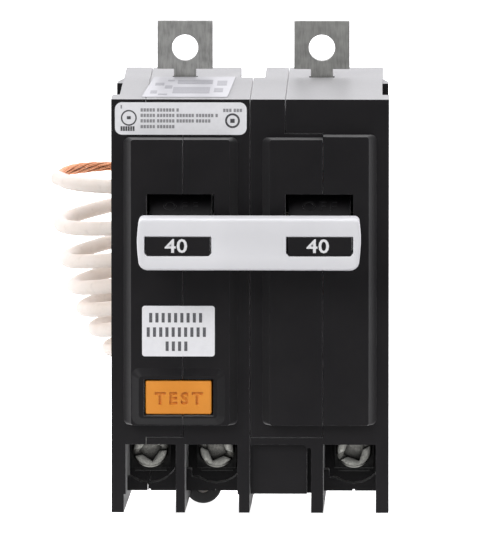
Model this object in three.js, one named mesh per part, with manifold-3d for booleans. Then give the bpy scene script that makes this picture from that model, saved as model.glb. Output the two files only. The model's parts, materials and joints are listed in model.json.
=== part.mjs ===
// Two-pole, bolt-on ground-fault circuit breaker, two inches wide.
//
// Millimetres. +X runs to the right, +Y to the back, +Z up to the line end.
// The pieces are drawn with Y = 0 on the back mounting face (the front is at negative Y) and
// Z = 0 on the front corner of the load end's fins. The whole group is then lowered by half the
// case height, so the finished part's origin is the middle of the back mounting face.

import * as THREE from "three";
import { ConvexGeometry } from "three/addons/geometries/ConvexGeometry.js";
import { mergeVertices } from "three/addons/utils/BufferGeometryUtils.js";
import Module from "manifold-3d";

const wasm = await Module();
wasm.setup();

// ---------------------------------------------------------------- driving dimensions

const INCH = 25.4;
const HALF_WIDTH = INCH; // two one-inch poles side by side
const BODY_HALF_WIDTH = 24; // behind the front flange
const HEIGHT = 3 * INCH;
const DEPTH = 57; // back face to the face of the front flange
const FLANGE = 8.3; // depth of the full-width front flange
const WALL = 2.5;
const SIDE_WALL = 1.5;
const SEAM = 0.12; // visible gap between two moulded shells
const POLES = { left: -INCH / 2, right: INCH / 2 };

const PLATFORM = { base: 10.45, top: 9.05, rise: 2.6, low: 16.3, high: 69.2, slope: 0.15, corner: 1 };
const PLATFORM_FRONT = -DEPTH - PLATFORM.rise;
const RAISED_STEP = 0.55; // the outer half of the right platform stands this much higher

const SPLIT = { left: -12.3, right: 13.3 }; // joint of cover and base across each platform
const COVER = { left: -19.1, right: 6.4 }; // joint of cover and base along the body
const SPLIT_DEPTH = -51; // the platform joint runs this far back
const COVER_END = 14; // lower end of the covers' front halves

const FIN_DROP = 3.8; // the fins' lower edges fall this much towards the back
const UNDERSIDE = { front: 3.4, back: -1 }; // floor between the fins
const CHAMBERS = [
  { upper: [-22.8, -13.6], lower: [-23.15, -14.2], screw: -18.7 },
  { upper: [-11.95, -2.3], lower: [-11.95, -2.05], screw: -6.4 },
  { upper: [13.4, 23.05], lower: [13.4, 23.05], screw: 18.9 },
];
const BLANK = { upper: [-0.05, 10.4], lower: [-0.1, 11.2], recess: 1.6, groove: [10.4, 11.2] };
const CHAMBER_TOP = 12.6;
const CHAMBER_BACK = -26;
const LIP = { y: [-45, -42], top: 6.4, wellRadius: 5.5 };

const PIVOT = { y: -50, z: 51.6 }; // the handles' common axis
const BARREL = { radius: 8.6, half: 5.65 };
const TRUNNION = { radius: 2.2, clearance: 0.06, reach: 2.4 };
const OPENING = { half: 6.2, low: 45, high: 59.05 };
const STALK = { half: 5.8, low: -2.5, high: 0.9, front: -71.3 };
const TIE = { half: 20.35, low: 46.4, high: 55.85, front: -71.4, back: -65.6, corner: 1.4 };
const WINDOW = { half: 6.1, low: 49, high: 52.6, outwards: 0.2 };

const BUTTON = { x: -13, half: 6.05, z: 21.7, halfHeight: 3.1, front: -60.5 };
const BEZEL = { x: [-21.6, -4.6], z: [16.6, 27], rise: 1.1, slope: 1.3, corner: 1.4 };

const TANG = { y: [-17.8, -16.2], half: 5.15, neck: 2.05, shoulder: 1.55, top: 10.5 };
const TANG_HOLE = { above: 5.5, radius: 2.43 };
const TRIP_BAR = { y: -8.5, z: 48, radius: 2 };
const ARM_PIN = { y: -30, z: 40, radius: 1.2 };
const CRADLE_PIN = { y: -33, z: 50, radius: 1.2 };
const ARM_OPEN = 12; // degrees from touching to the rest position, handle in the middle
const TERMINAL = { z: 9.3, strap: [-33.5, -32], clamp: [-36.8, -35.6], head: [-39.4, -36.9], radius: 3.3 };
const SLOT_ANGLES = { load_a: 11, neutral: -21, load_b: 26 };
const RIVETS = {
  upper_front: [-45.5, 70],
  upper_back: [-6.5, 68.5],
  lower_front: [-45.8, 17.2],
  lower_back: [-5, 11],
};
const RIVET = { radius: 1.5, boss: 3, head: 2.7, headHeight: 0.9 };
const BUSHING = { x: -9.6, z: -1.7, radius: 3.5, y: [-6.6, -0.3] };
const WIRE = 1.38; // radius of the pigtail's insulation
const LEAD = 0.85; // radius of an internal lead

// ---------------------------------------------------------------- finishes

const FINISH = {
  shell: { color: 0x1d1b1e, roughness: 0.42, metalness: 0 },
  tie: { color: 0xdcdce0, roughness: 0.45, metalness: 0 },
  button: { color: 0xd98b26, roughness: 0.5, metalness: 0 },
  plated: { color: 0x8a8a88, roughness: 0.45, metalness: 1 },
  screw: { color: 0xa9aaa2, roughness: 0.35, metalness: 1 },
  steel: { color: 0x7d7f82, roughness: 0.4, metalness: 1 },
  copper: { color: 0xc9835a, roughness: 0.35, metalness: 1 },
  silver: { color: 0xd8d8d4, roughness: 0.3, metalness: 1 },
  insulation: { color: 0xf1e7e2, roughness: 0.5, metalness: 0 },
  lead: { color: 0x2a2a30, roughness: 0.5, metalness: 0 },
  rubber: { color: 0x141414, roughness: 0.6, metalness: 0 },
  label: { color: 0xe4e4e8, roughness: 0.5, metalness: 0 },
  board: { color: 0x1f5a36, roughness: 0.5, metalness: 0 },
  core: { color: 0x4a5a78, roughness: 0.6, metalness: 0 },
  fibre: { color: 0x8c8478, roughness: 0.8, metalness: 0 },
};

// ---------------------------------------------------------------- solids

const X_AXIS = new THREE.Vector3(1, 0, 0);
const Y_AXIS = new THREE.Vector3(0, 1, 0);
const Z_AXIS = new THREE.Vector3(0, 0, 1);
const EVERYWHERE = [-120, 120];

// A closed three.js geometry as a solid that can be cut and joined.
function solid(geometry) {
  const bare = geometry.index ? geometry.toNonIndexed() : geometry.clone();
  bare.deleteAttribute("normal");
  bare.deleteAttribute("uv");
  const merged = mergeVertices(bare, 1e-4);
  return new wasm.Manifold(
    new wasm.Mesh({
      numProp: 3,
      vertProperties: merged.attributes.position.array,
      triVerts: new Uint32Array(merged.index.array),
    }),
  );
}

function box([x0, x1], [y0, y1], [z0, z1]) {
  const geometry = new THREE.BoxGeometry(x1 - x0, y1 - y0, z1 - z0);
  geometry.translate((x0 + x1) / 2, (y0 + y1) / 2, (z0 + z1) / 2);
  return solid(geometry);
}

// An outline is a list of [u, v] points or a ready THREE.Shape.
function shapeOf(outline) {
  if (outline instanceof THREE.Shape) return outline;
  return new THREE.Shape(outline.map(([u, v]) => new THREE.Vector2(u, v)));
}

function extrude(outline, depth, basis) {
  const options = { depth, bevelEnabled: false, curveSegments: 6 };
  const geometry = new THREE.ExtrudeGeometry(shapeOf(outline), options);
  geometry.applyMatrix4(basis);
  return solid(geometry);
}

// A [y, z] outline running along X.
function prismX(outline, [x0, x1]) {
  const basis = new THREE.Matrix4().makeBasis(Y_AXIS, Z_AXIS, X_AXIS);
  return extrude(outline, x1 - x0, basis.setPosition(x0, 0, 0));
}

// An [x, z] outline running along Y.
function prismY(outline, [y0, y1]) {
  const basis = new THREE.Matrix4().makeBasis(X_AXIS, Z_AXIS, Y_AXIS.clone().negate());
  return extrude(outline, y1 - y0, basis.setPosition(0, y1, 0));
}

// An [x, y] outline running along Z.
function prismZ(outline, [z0, z1]) {
  return extrude(outline, z1 - z0, new THREE.Matrix4().setPosition(0, 0, z0));
}

function rodX(radius, [y, z], [x0, x1], sides = 20) {
  const geometry = new THREE.CylinderGeometry(radius, radius, x1 - x0, sides);
  geometry.rotateZ(Math.PI / 2);
  geometry.translate((x0 + x1) / 2, y, z);
  return solid(geometry);
}

function rodY(radius, [x, z], [y0, y1], sides = 20) {
  const geometry = new THREE.CylinderGeometry(radius, radius, y1 - y0, sides);
  geometry.translate(x, (y0 + y1) / 2, z);
  return solid(geometry);
}

// A rounded rectangle as a shape.
function roundedRectangle([u0, u1], [v0, v1], radius) {
  const shape = new THREE.Shape();
  shape.moveTo(u0 + radius, v0);
  shape.lineTo(u1 - radius, v0);
  shape.absarc(u1 - radius, v0 + radius, radius, -Math.PI / 2, 0);
  shape.lineTo(u1, v1 - radius);
  shape.absarc(u1 - radius, v1 - radius, radius, 0, Math.PI / 2);
  shape.lineTo(u0 + radius, v1);
  shape.absarc(u0 + radius, v1 - radius, radius, Math.PI / 2, Math.PI);
  shape.lineTo(u0, v0 + radius);
  shape.absarc(u0 + radius, v0 + radius, radius, Math.PI, 1.5 * Math.PI);
  return shape;
}

// A round tube along a smooth curve through the points.
function tube(points, radius, steps, sides = 8) {
  const corners = points.map((p) => new THREE.Vector3(...p));
  const path = new THREE.CatmullRomCurve3(corners, false, "centripetal");
  const circle = new THREE.Shape();
  circle.absarc(0, 0, radius, 0, 2 * Math.PI);
  // a full circle is divided into twice its curve segments
  const geometry = new THREE.ExtrudeGeometry(circle, { steps, extrudePath: path, curveSegments: sides / 2 });
  return solid(geometry);
}

// A copy turned about the X axis through (y, z).
function turnedX(body, degrees, { y, z }) {
  return body.translate([0, -y, -z]).rotate([degrees, 0, 0]).translate([0, y, z]);
}

function join(...bodies) {
  return bodies.reduce((whole, body) => whole.add(body));
}

function cut(body, ...tools) {
  return tools.reduce((left, tool) => left.subtract(tool), body);
}

const breaker = new THREE.Group();

// Adds one finished piece to the breaker under its own name.
function piece(name, body, finish) {
  const { vertProperties, triVerts } = body.getMesh();
  const geometry = new THREE.BufferGeometry();
  geometry.setAttribute("position", new THREE.BufferAttribute(vertProperties, 3));
  geometry.setIndex(new THREE.BufferAttribute(triVerts, 1));
  geometry.computeVertexNormals();
  const mesh = new THREE.Mesh(geometry, new THREE.MeshStandardMaterial(finish));
  mesh.name = name;
  breaker.add(mesh);
}

// ---------------------------------------------------------------- the moulded case

function undersideAt(y) {
  return UNDERSIDE.back + ((UNDERSIDE.front - UNDERSIDE.back) * -y) / DEPTH;
}

// Flange, body and the side ribs that keep neighbouring breakers apart.
function caseBlock() {
  const side = [
    [-DEPTH, 0],
    [0, -FIN_DROP],
    [0, HEIGHT],
    [-DEPTH, HEIGHT],
  ];
  const flange = prismX(side, [-HALF_WIDTH, HALF_WIDTH]).intersect(
    box(EVERYWHERE, [-DEPTH - 1, FLANGE - DEPTH], EVERYWHERE),
  );
  const body = prismX(side, [-BODY_HALF_WIDTH, BODY_HALF_WIDTH]);
  const ribs = [-1, 1].map((way) => {
    const outline = [
      [way * (BODY_HALF_WIDTH - 0.5), -27],
      [way * (HALF_WIDTH - 0.3), -27],
      [way * (HALF_WIDTH - 0.3), -23.5],
      [way * (BODY_HALF_WIDTH - 0.5), -16],
    ];
    return prismZ(way > 0 ? outline : outline.reverse(), [14, HEIGHT - 0.2]);
  });
  return join(flange, body, ...ribs);
}

// A raised field with sloping sides and round corners. The foot and the face are [x, z, corner radius].
function raisedField(foot, face, [front, back]) {
  const layers = [
    [foot, back + 1],
    [foot, back],
    [face, front],
  ];
  const cornerSteps = 3;
  const corners = layers.flatMap(([outline, y]) => {
    const points = roundedRectangle(...outline).getPoints(cornerSteps);
    return points.map((point) => new THREE.Vector3(point.x, y, point.y));
  });
  return solid(new ConvexGeometry(corners));
}

// A platform on the front of one pole.
function platform(x, low, high) {
  const { base, top, rise, slope, corner } = PLATFORM;
  const foot = [[x - base, x + base], [low, high], corner];
  const face = [[x - top, x + top], [low + slope, high - slope], corner / 2];
  return raisedField(foot, face, [-DEPTH - rise, -DEPTH]);
}

// Raised frame around the test button.
function testBezel() {
  const { x, z, rise, slope, corner } = BEZEL;
  const face = [x, z].map(([low, high]) => [low + slope, high - slope]);
  return raisedField([x, z, corner], [...face, corner / 2], [PLATFORM_FRONT - rise, PLATFORM_FRONT]);
}

// The space between two fins, below the sloping floor of the load end.
function finSpace([x0, x1]) {
  const outline = [
    [-DEPTH - 1, -12],
    [1, -12],
    [1, undersideAt(1)],
    [-DEPTH - 1, undersideAt(-DEPTH - 1)],
  ];
  return prismX(outline, [x0, x1]);
}

// A terminal chamber, open to the front and, for the wire, to the load end.
function chamberSpace({ upper, lower }) {
  const mouth = box(upper, [-DEPTH - 1, -54], [-12, CHAMBER_TOP]);
  const room = box(upper, [-54.5, CHAMBER_BACK], [-12, CHAMBER_TOP + 0.8]);
  return join(mouth, room, finSpace(lower));
}

// The lip below a terminal screw, with its top cut to a round well.
function chamberLip({ upper, screw }) {
  const { y, top, wellRadius } = LIP;
  const bar = box([upper[0] - 0.3, upper[1] + 0.3], y, [-5, top]);
  const well = rodY(wellRadius, [screw, TERMINAL.z], [y[0] - 1, y[1] + 1]);
  const squareSide = box([screw - wellRadius + 1, screw], [y[0] - 1, y[1] + 1], [4.9, top + 1]);
  const notch = box([screw - 0.2, screw + 0.2], [y[0] - 1, y[1] + 1], [-12, undersideAt(y[0]) + 0.3]);
  return cut(bar, well, squareSide, finSpace(EVERYWHERE), notch);
}

// The blank position of the load end: a shallow recess with a groove along the next fin.
function blankSpace() {
  const face = roundedRectangle(BLANK.upper, [-4, CHAMBER_TOP], 0.9);
  const groove = roundedRectangle(BLANK.groove, [-4, CHAMBER_TOP - 0.6], 0.39);
  return join(
    prismY(face, [-DEPTH - 1, -DEPTH + BLANK.recess]),
    prismY(groove, [-DEPTH - 1, -DEPTH + 5]),
    finSpace(BLANK.lower),
  );
}

// Hollow of one pole. The rivet columns are left standing in it.
function poleHollow(x0, x1) {
  const upper = box([x0, x1], [-DEPTH + WALL, -WALL], [15.5, HEIGHT - WALL]);
  const lower = box([x0, x1], [-24, -WALL], [4, 16]);
  const columns = Object.values(RIVETS).map((at) => rodX(RIVET.boss, at, [x0 - 1, x1 + 1], 12));
  return cut(join(upper, lower), ...columns);
}

// The mouth that the handle swings in, with the round seat of its barrel.
function handleMouth(x) {
  const across = [x - OPENING.half, x + OPENING.half];
  const slot = box(across, [-DEPTH - 5, PIVOT.y], [OPENING.low, OPENING.high]);
  const seat = rodX(BARREL.radius + 0.5, [PIVOT.y, PIVOT.z], across, 36);
  return join(slot, seat);
}

// A bearing boss for one trunnion. The bore opens at the inner face.
function handleBearing([x0, x1], boreAt) {
  const centre = [PIVOT.y, PIVOT.z];
  const boss = rodX(4, centre, [x0, x1], 16);
  return cut(boss, rodX(TRUNNION.radius + TRUNNION.clearance, centre, boreAt, 24));
}

function handleBearings() {
  const reach = BARREL.half + TRUNNION.reach + 0.3;
  const outer = BODY_HALF_WIDTH - SIDE_WALL + 0.5;
  const { left, right } = POLES;
  return [
    handleBearing([-outer, COVER.left - SEAM], [left - reach, left]),
    handleBearing([left + 6.1, -1], [left, left + reach]),
    handleBearing([1, COVER.right - SEAM], [right - reach, right]),
    handleBearing([right + 6.1, outer], [right, right + reach]),
  ];
}

// Bosses of the two bases that hold the arm and cradle pins.
function pinBosses() {
  const outer = BODY_HALF_WIDTH - SIDE_WALL + 0.5;
  const across = [
    [POLES.left + 5.1, -1],
    [POLES.right + 5.1, outer],
  ];
  return across.flatMap(([x0, x1]) =>
    [ARM_PIN, CRADLE_PIN].map(({ y, z, radius }) =>
      cut(rodX(radius + 1.2, [y, z], [x0, x1], 16), rodX(radius + 0.06, [y, z], [x0 - 1, x1 - 0.5], 20)),
    ),
  );
}

// Openings in the back half of the top: the bus clearance and the slots for the line tangs.
function topOpenings() {
  const centre = box([-2.45, 2.15], [-18, 1], [66, HEIGHT + 1]);
  const slots = Object.values(POLES).map((x) =>
    box([x - 2.35, x + 2.35], [TANG.y[0] - 0.3, TANG.y[1] + 0.3], [66, HEIGHT + 1]),
  );
  return [centre, ...slots];
}

// Holes through the wall between the poles, for the common trip bar and the leads.
function wallHoles() {
  return [
    rodX(TRIP_BAR.radius + 0.4, [TRIP_BAR.y, TRIP_BAR.z], [-3, 3]),
    rodX(1.6, [-27, 17.6], [-3, 3]),
    rodX(1.6, [-26, 33], [-3, 3]),
  ];
}

// Narrow slots in the chamber roofs, where the terminal straps rise into the case.
function strapSlots() {
  const [y0, y1] = TERMINAL.strap;
  return CHAMBERS.map(({ screw }) => box([screw - 3.3, screw + 3.3], [y0 - 0.3, y1 + 0.3], [12, 17]));
}

// Seat of the pigtail's bushing and the way down to it from the left pole's hollow.
function pigtailExit() {
  const { x, z, radius, y } = BUSHING;
  const seat = rodY(radius + 0.25, [x, z], [y[0] - 0.3, 1], 32);
  const passage = box([x - 2.2, x + 2.2], [-13.5, y[0]], [-6, 5]);
  return [seat, passage];
}

function wholeCase() {
  const { left, right } = POLES;
  const { low, high } = PLATFORM;
  const highSide = platform(right, low, high + RAISED_STEP).intersect(
    box([SPLIT.right, HALF_WIDTH], EVERYWHERE, EVERYWHERE),
  );
  const platforms = [platform(left, low, high), platform(right, low, high), highSide];
  const outside = join(caseBlock(), ...platforms, testBezel());
  const inside = BODY_HALF_WIDTH - SIDE_WALL;
  const hollow = cut(
    outside,
    poleHollow(-inside, -1.5),
    poleHollow(1.5, inside),
    ...CHAMBERS.map(chamberSpace),
    blankSpace(),
  );
  const buttonHole = box(
    [BUTTON.x - BUTTON.half - 0.3, BUTTON.x + BUTTON.half + 0.3],
    [-DEPTH - 6, -50],
    [BUTTON.z - BUTTON.halfHeight - 0.3, BUTTON.z + BUTTON.halfHeight + 0.3],
  );
  const tripBarSeats = rodX(TRIP_BAR.radius + 0.1, [TRIP_BAR.y, TRIP_BAR.z], [-inside - 0.9, inside + 0.9]);
  const rivetHoles = Object.values(RIVETS).map((at) => rodX(RIVET.radius + 0.1, at, EVERYWHERE, 12));
  return cut(
    join(hollow, ...CHAMBERS.map(chamberLip), ...handleBearings(), ...pinBosses()),
    handleMouth(left),
    handleMouth(right),
    buttonHole,
    tripBarSeats,
    ...topOpenings(),
    ...wallHoles(),
    ...strapSlots(),
    ...pigtailExit(),
    ...rivetHoles,
  );
}

// Space of one cover: its side of the body joint, the platform joint and, on the right, the
// tongue that closes the middle of the back. The right cover ends above the blank position.
function coverSpace(side, grow) {
  const platformJoint = [EVERYWHERE[0], SPLIT_DEPTH + grow];
  const band = [COVER_END - grow, 69.9 + grow];
  if (side === "left") {
    const body = box([EVERYWHERE[0], COVER.left + grow], EVERYWHERE, EVERYWHERE);
    return join(body, box([EVERYWHERE[0], SPLIT.left + grow], platformJoint, band));
  }
  const body = box([SEAM / 2 - grow, COVER.right + grow], EVERYWHERE, [COVER_END - grow, EVERYWHERE[1]]);
  const front = box([SEAM / 2 - grow, SPLIT.right + grow], platformJoint, band);
  const tongue = box([-2 - grow, 1], [-2.4 - grow, 5], [20 - grow, 56 + grow]);
  return join(body, front, tongue);
}

function addShells() {
  const whole = wholeCase();
  const leftHalf = whole.intersect(box([EVERYWHERE[0], -SEAM / 2], EVERYWHERE, EVERYWHERE));
  const rightHalf = whole.intersect(box([SEAM / 2, EVERYWHERE[1]], EVERYWHERE, EVERYWHERE));
  piece("left_cover", leftHalf.intersect(coverSpace("left", 0)), FINISH.shell);
  piece("left_base", cut(leftHalf, coverSpace("left", SEAM), coverSpace("right", SEAM)), FINISH.shell);
  piece("right_cover", whole.intersect(coverSpace("right", 0)), FINISH.shell);
  piece("right_base", cut(rightHalf, coverSpace("right", SEAM)), FINISH.shell);
}

// A rivet through all four shells, with a low domed head on each side.
function addRivet(name, at) {
  const { radius, head, headHeight } = RIVET;
  const reach = BODY_HALF_WIDTH + headHeight;
  const shank = rodX(radius, at, [-BODY_HALF_WIDTH - 0.1, BODY_HALF_WIDTH + 0.1], 12);
  const heads = [-1, 1].map((way) => {
    const dome = new THREE.LatheGeometry(
      [
        new THREE.Vector2(0, 0),
        new THREE.Vector2(head, 0),
        new THREE.Vector2(head, headHeight * 0.4),
        new THREE.Vector2(head * 0.75, headHeight * 0.85),
        new THREE.Vector2(0, headHeight),
      ],
      16,
    );
    dome.rotateZ((-way * Math.PI) / 2);
    dome.translate(way * (reach - headHeight), at[0], at[1]);
    return solid(dome);
  });
  piece(`rivet_${name}`, join(shank, ...heads), FINISH.steel);
}

// ---------------------------------------------------------------- handles and tie

// The windows of the tie, and the handle ends in them, stand a little outwards of each pole.
function windowMiddle(x) {
  return x + Math.sign(x) * WINDOW.outwards;
}

function addHandle(side, x) {
  const centre = [PIVOT.y, PIVOT.z];
  const middle = windowMiddle(x);
  const barrel = rodX(BARREL.radius, centre, [x - BARREL.half, x + BARREL.half], 36);
  const stalk = box(
    [middle - STALK.half, middle + STALK.half],
    [STALK.front, PIVOT.y - 7],
    [PIVOT.z + STALK.low, PIVOT.z + STALK.high],
  );
  const reach = BARREL.half + TRUNNION.reach;
  const trunnions = rodX(TRUNNION.radius, centre, [x - reach, x + reach], 24);
  const leg = [
    [PIVOT.y + 2, PIVOT.z - 7],
    [PIVOT.y + 10.5, PIVOT.z - 6],
    [PIVOT.y + 10.5, PIVOT.z - 2.5],
    [PIVOT.y + 5, PIVOT.z],
  ];
  const fork = [-1, 1].map((way) => prismX(leg, [x + way * 3.9 - 0.8, x + way * 3.9 + 0.8]));
  const notch = box([x - 2.4, x + 2.4], [PIVOT.y + 3.5, PIVOT.y + 10], [PIVOT.z - 9, PIVOT.z + 9]);
  piece(`${side}_handle`, cut(join(barrel, stalk, trunnions, ...fork), notch), FINISH.shell);
}

// The bar that makes both handles move as one, pushed over their ends.
function addHandleTie() {
  const outline = roundedRectangle([-TIE.half, TIE.half], [TIE.low, TIE.high], TIE.corner);
  const windows = Object.values(POLES).map(windowMiddle).map((x) =>
    box([x - WINDOW.half, x + WINDOW.half], [TIE.front - 1, TIE.back + 1], [WINDOW.low, WINDOW.high]),
  );
  piece("handle_tie", cut(prismY(outline, [TIE.front, TIE.back]), ...windows), FINISH.tie);
}

// ---------------------------------------------------------------- switching mechanism of one pole

// Line conductor: a bolt-on tang outside the case, narrowed to a neck through its slot.
function addLineTang(side, x) {
  const { half, neck, shoulder, top } = TANG;
  const low = HEIGHT + shoulder;
  const outline = [
    [x - 4, 57],
    [x + 4, 57],
    [x + 4, 66],
    [x + neck, 69],
    [x + neck, low],
    [x + half, low],
    [x + half, HEIGHT + top],
    [x - half, HEIGHT + top],
    [x - half, low],
    [x - neck, low],
    [x - neck, 69],
    [x - 4, 66],
  ];
  const boltHole = rodY(TANG_HOLE.radius, [x, HEIGHT + TANG_HOLE.above], [-20, -14], 36);
  piece(`${side}_line_tang`, cut(prismY(outline, TANG.y), boltHole), FINISH.plated);
  piece(`${side}_fixed_contact`, rodY(2, [x, 62], [TANG.y[0] - 1, TANG.y[0]], 24), FINISH.silver);
}

// The contact arm is drawn touching, then turned to its rest position.
function addContactArm(side, x) {
  const tip = { y: -21.6, z: 62 };
  const outline = new THREE.Shape();
  outline.moveTo(ARM_PIN.y - 7, ARM_PIN.z + 2.2);
  outline.lineTo(ARM_PIN.y - 2.6, ARM_PIN.z - 1.6);
  outline.absarc(ARM_PIN.y, ARM_PIN.z, 3, Math.PI * 1.18, Math.PI * 2);
  outline.lineTo(tip.y + 1.2, tip.z - 3);
  outline.lineTo(tip.y + 1.2, tip.z + 2.4);
  outline.lineTo(tip.y - 1, tip.z + 2.4);
  outline.lineTo(ARM_PIN.y - 2.2, ARM_PIN.z + 4.4);
  outline.lineTo(ARM_PIN.y - 7, ARM_PIN.z + 4.4);
  const bore = rodX(ARM_PIN.radius + 0.08, [ARM_PIN.y, ARM_PIN.z], EVERYWHERE, 24);
  const arm = cut(prismX(outline, [x - 1.5, x + 1.5]), bore);
  piece(`${side}_contact_arm`, turnedX(arm, ARM_OPEN, ARM_PIN), FINISH.copper);

  const pad = rodY(1.9, [x, tip.z], [tip.y + 1.2, TANG.y[0] - 1.15], 24);
  piece(`${side}_moving_contact`, turnedX(pad, ARM_OPEN, ARM_PIN), FINISH.silver);
}

// Tension spring beside the contact arm, with its axis from the arm's tail to its middle.
function addOperatingSpring(side, x) {
  const coil = { radius: 1.25, turns: 5, perTurn: 10 };
  const start = new THREE.Vector3(x - 3.5, ARM_PIN.y - 4.5, ARM_PIN.z + 5.5);
  const end = new THREE.Vector3(x - 3.5, ARM_PIN.y + 6, ARM_PIN.z + 9);
  const along = end.clone().sub(start);
  const across = new THREE.Vector3(0, -along.z, along.y).normalize();
  const points = [];
  for (let i = 0; i <= coil.turns * coil.perTurn; i++) {
    const turn = (2 * Math.PI * i) / coil.perTurn;
    const at = start.clone().addScaledVector(along, i / (coil.turns * coil.perTurn));
    at.addScaledVector(X_AXIS, coil.radius * Math.cos(turn));
    at.addScaledVector(across, coil.radius * Math.sin(turn));
    points.push(at.toArray());
  }
  piece(`${side}_operating_spring`, tube(points, 0.28, coil.turns * coil.perTurn, 4), FINISH.steel);
}

// Latched lever that the armature lets go of.
function addCradle(side, x) {
  const { y, z } = CRADLE_PIN;
  const outline = new THREE.Shape();
  outline.absarc(y, z, 2.5, Math.PI * 0.25, Math.PI * 1.25);
  outline.lineTo(y + 7.5, z - 6.5);
  outline.lineTo(y + 12.6, z - 21);
  outline.lineTo(y + 15.4, z - 20.6);
  outline.lineTo(y + 14.6, z - 18.4);
  outline.lineTo(y + 11.2, z - 4.2);
  const bore = rodX(CRADLE_PIN.radius + 0.08, [y, z], EVERYWHERE, 24);
  piece(`${side}_cradle`, cut(prismX(outline, [x + 2.6, x + 4.1]), bore), FINISH.steel);
}

// Both pins stand in bosses of the base. The arm's reaches past the arm, the cradle's stops short.
function addPins(side, x) {
  const end = side === "left" ? -1.6 : 22.4;
  const armPin = rodX(ARM_PIN.radius, [ARM_PIN.y, ARM_PIN.z], [x - 2.4, end]);
  const cradlePin = rodX(CRADLE_PIN.radius, [CRADLE_PIN.y, CRADLE_PIN.z], [x + 2.1, end]);
  piece(`${side}_arm_pin`, armPin, FINISH.steel);
  piece(`${side}_cradle_pin`, cradlePin, FINISH.steel);
}

// Steel splitter plates in two insulating cheeks, around the contact arm's tip.
function addArcChute(side, x) {
  const plate = [
    [x - 5.6, 58],
    [x - 2.5, 58],
    [x - 2.5, 67.6],
    [x + 2.5, 67.6],
    [x + 2.5, 58],
    [x + 5.6, 58],
    [x + 5.6, 72],
    [x - 5.6, 72],
  ];
  const plates = [0, 1, 2, 3].map((i) => prismY(plate, [-33 + 3 * i, -32 + 3 * i]));
  const cheeks = [x - 5.8, x + 5.8].map((at) => box([at - 0.4, at + 0.4], [-34, -22.6], [58, 72]));
  piece(`${side}_arc_chute`, join(...plates, ...cheeks), FINISH.fibre);
}

// Thermal and magnetic trip: bimetal, U-shaped yoke and the armature they attract.
function addTripUnit(side, x) {
  const strip = box([x - 3, x + 3], [-9.6, -8.6], [15.6, 42]);
  const foot = box([x - 3, x + 3], [-9.6, -2.8], [15, 16]);
  piece(`${side}_bimetal`, join(strip, foot), FINISH.copper);

  const back = box([x - 4.3, x + 4.3], [-8.3, -7.2], [27, 35]);
  const arms = [x - 3.8, x + 3.8].map((at) => box([at - 0.5, at + 0.5], [-11, -7.2], [27, 35]));
  piece(`${side}_magnet_yoke`, join(back, ...arms), FINISH.steel);

  const plate = box([x - 3.5, x + 5.8], [-13.2, -12.2], [22, 42]);
  const latch = box([x + 2.2, x + 4.5], [-14, -11], [31.6, 36]);
  piece(`${side}_armature`, cut(plate, latch), FINISH.steel);
}

// Trip bar across both poles: a finger behind each armature and a lever for the solenoid.
function addTripBar() {
  const { y, z, radius } = TRIP_BAR;
  const reach = BODY_HALF_WIDTH - SIDE_WALL + 0.6;
  const bar = rodX(radius, [y, z], [-reach, reach]);
  const fingers = Object.values(POLES).map((x) => {
    const outline = [
      [y - 1, z + 1],
      [y - 3.4, z - 1],
      [y - 3.4, z - 7.5],
      [y - 2, z - 7.5],
      [y - 1.4, z - 1.2],
    ];
    return prismX(outline, [x + 4.2, x + 5.6]);
  });
  const lever = box([-18.6, -17.2], [y - 1.3, y - 0.1], [z - 24.5, z]);
  piece("trip_bar", join(bar, ...fingers, lever), FINISH.fibre);
}

// ---------------------------------------------------------------- ground-fault module

function addFaultModule() {
  const axis = { x: -17.6, z: 24.5 };
  const coil = rodY(3.1, [axis.x, axis.z], [-45.6, -35.4]);
  const flanges = [-46, -36.2].map((y) => rodY(3.5, [axis.x, axis.z], [y, y + 0.8]));
  const bore = rodY(1.1, [axis.x, axis.z], [-44, -30], 20);
  piece("trip_solenoid", cut(join(coil, ...flanges), bore), FINISH.copper);
  piece("solenoid_plunger", rodY(0.85, [axis.x, axis.z], [-41.5, -10.3], 20), FINISH.steel);

  const ring = new THREE.LatheGeometry(
    [
      new THREE.Vector2(3.3, -3),
      new THREE.Vector2(5.9, -3),
      new THREE.Vector2(5.9, 3),
      new THREE.Vector2(3.3, 3),
      new THREE.Vector2(3.3, -3),
    ],
    32,
  );
  ring.rotateX(Math.PI / 2);
  ring.translate(-10.6, -27, 22.6);
  piece("differential_sensor", solid(ring), FINISH.core);

  const board = box([-22.4, -21.3], [-52, -20], [20.8, 45]);
  const chip = box([-21.4, -19.8], [-40, -30], [33, 40]);
  const capacitor = rodX(2.6, [-26, 37], [-21.4, -17.6], 24);
  piece("circuit_board", join(board, chip, capacitor), FINISH.board);
}

// Leads between the bimetals, the sensor ring and the load terminals.
function addLeads() {
  const loadA = [
    [-18, -31.1, 17],
    [-16.8, -30.6, 17],
    [-13.6, -29.2, 17.6],
    [-12.2, -27.8, 20],
    [-12.2, -27.7, 24],
    [-13.6, -26.4, 27.4],
    [-14.2, -21, 27],
    [-12.9, -16.4, 22],
    [-12.7, -13, 18.8],
    [-12.7, -9.8, 18],
  ];
  const loadB = [
    [18.9, -31.2, 17],
    [18.2, -30.2, 17],
    [12, -27.6, 17.4],
    [0, -27, 17.6],
    [-5, -26.6, 17.6],
    [-9.6, -25.7, 18],
    [-10.6, -25.3, 20.5],
    [-10.6, -25.2, 25],
    [-11, -25.2, 28],
    [-9.6, -25.6, 31.6],
    [-5, -26, 33],
    [0, -26, 33],
    [7, -23.6, 30],
    [12, -17, 22],
    [12.7, -13, 18.8],
    [12.7, -9.8, 18],
  ];
  piece("load_lead_a", tube(loadA, LEAD, 30), FINISH.lead);
  piece("load_lead_b", tube(loadB, LEAD, 44), FINISH.lead);
}

// ---------------------------------------------------------------- test button

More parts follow.
